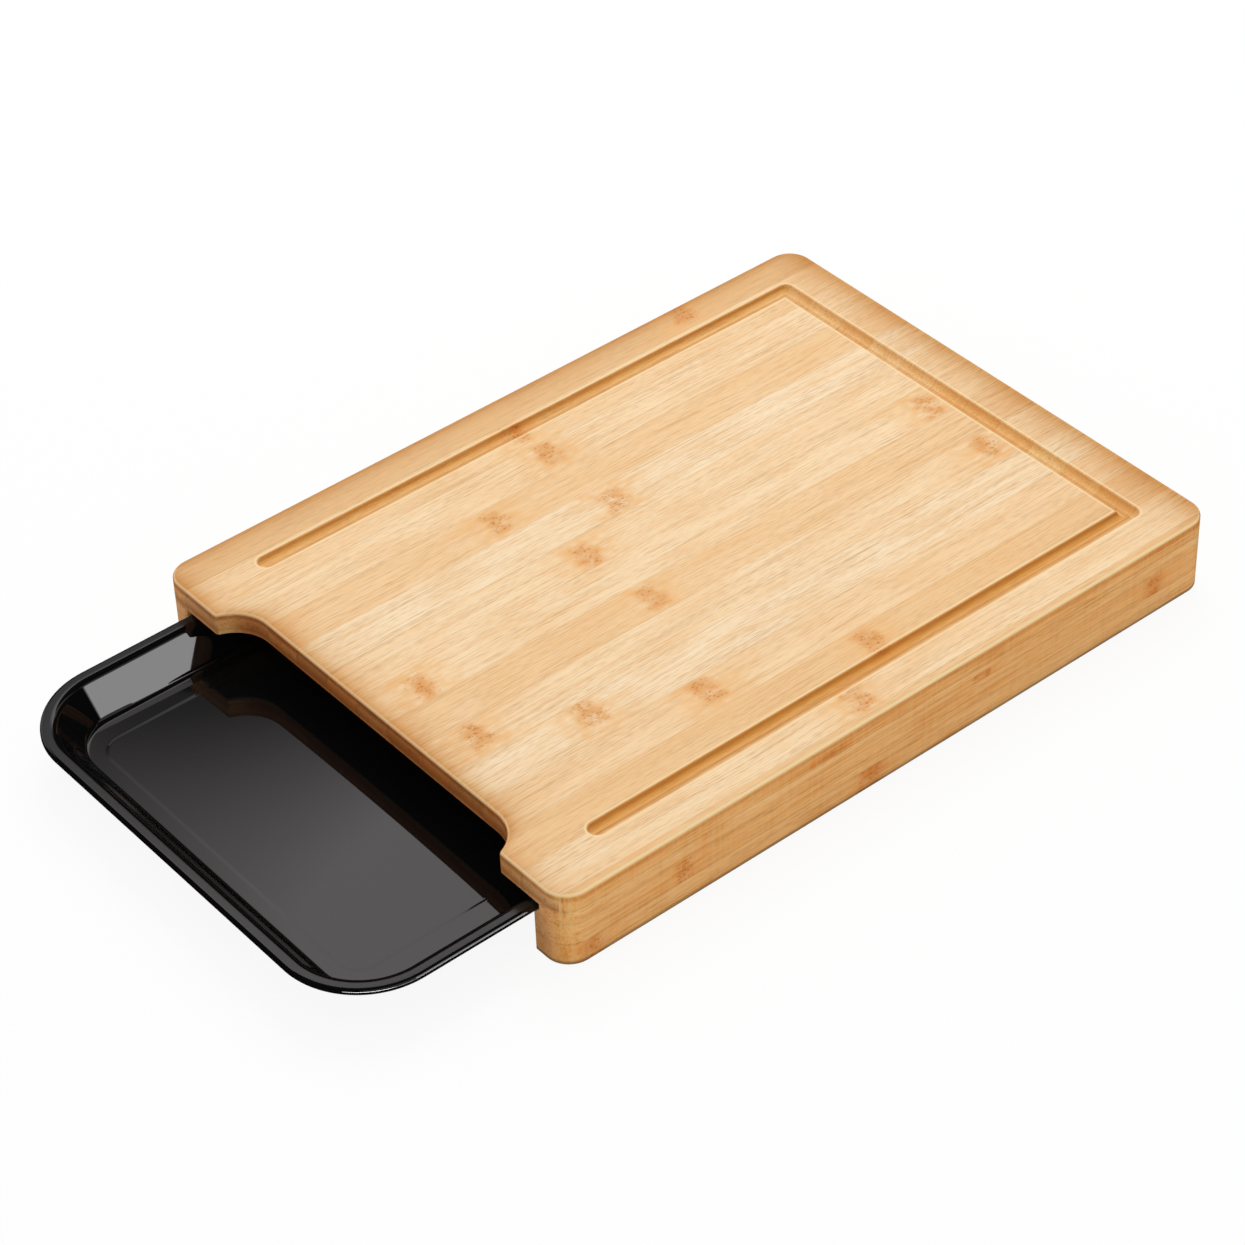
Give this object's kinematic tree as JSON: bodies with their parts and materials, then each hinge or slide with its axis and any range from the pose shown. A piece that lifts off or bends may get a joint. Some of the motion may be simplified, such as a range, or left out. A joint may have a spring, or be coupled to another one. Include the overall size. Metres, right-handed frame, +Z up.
{
  "type": "cutting board with tray",
  "caption": "Bamboo cutting board with a juice groove and a front scraping recess, over a black moulded tray that slides out from under it.",
  "frame": {"origin": "on the resting plane, under the middle of the whole footprint with the tray standing part of the way out; the board's own middle is at y = 0.04925", "axes": "+Z up, Y along the board's length with the tray drawing out towards -Y, X across the board"},
  "size_m": [0.285, 0.4786, 0.04],
  "materials": {
    "bamboo_face": "satin, oiled",
    "bamboo_core": "satin, oiled",
    "bamboo_rail": "satin, oiled",
    "tray_plastic": "high gloss black"
  },
  "bodies": {
    "board": {"top_slat_01": "bamboo_face", "top_slat_02": "bamboo_face", "top_slat_03": "bamboo_face", "top_slat_04": "bamboo_face", "top_slat_05": "bamboo_face", "top_slat_06": "bamboo_face", "top_slat_07": "bamboo_face", "top_slat_08": "bamboo_face", "top_slat_09": "bamboo_face", "top_slat_10": "bamboo_face", "top_slat_11": "bamboo_face", "top_slat_12": "bamboo_face", "top_slat_13": "bamboo_face", "top_slat_14": "bamboo_face", "middle_slat_01": "bamboo_core", "middle_slat_02": "bamboo_core", "middle_slat_03": "bamboo_core", "middle_slat_04": "bamboo_core", "middle_slat_05": "bamboo_core", "middle_slat_06": "bamboo_core", "middle_slat_07": "bamboo_core", "middle_slat_08": "bamboo_core", "middle_slat_09": "bamboo_core", "middle_slat_10": "bamboo_core", "middle_slat_11": "bamboo_core", "middle_slat_12": "bamboo_core", "middle_slat_13": "bamboo_core", "middle_slat_14": "bamboo_core", "lower_slat_01": "bamboo_core", "lower_slat_02": "bamboo_core", "lower_slat_03": "bamboo_core", "lower_slat_04": "bamboo_core", "lower_slat_05": "bamboo_core", "lower_slat_06": "bamboo_core", "lower_slat_07": "bamboo_core", "lower_slat_08": "bamboo_core", "lower_slat_09": "bamboo_core", "lower_slat_10": "bamboo_core", "lower_slat_11": "bamboo_core", "lower_slat_12": "bamboo_core", "lower_slat_13": "bamboo_core", "lower_slat_14": "bamboo_core", "left_rail_lower": "bamboo_rail", "right_rail_lower": "bamboo_rail", "rear_rail_lower": "bamboo_rail", "left_rail_upper": "bamboo_rail", "right_rail_upper": "bamboo_rail", "rear_rail_upper": "bamboo_rail", "left_ledge_strip": "bamboo_rail", "right_ledge_strip": "bamboo_rail", "rear_ledge_strip": "bamboo_rail"},
    "tray": {"tray": "tray_plastic"}
  },
  "joints": [
    {"name": "tray_slide", "type": "slide", "parent": "board", "child": "tray", "axis": [0, -1, 0], "range_m": [-0.0985, 0.26]}
  ]
}
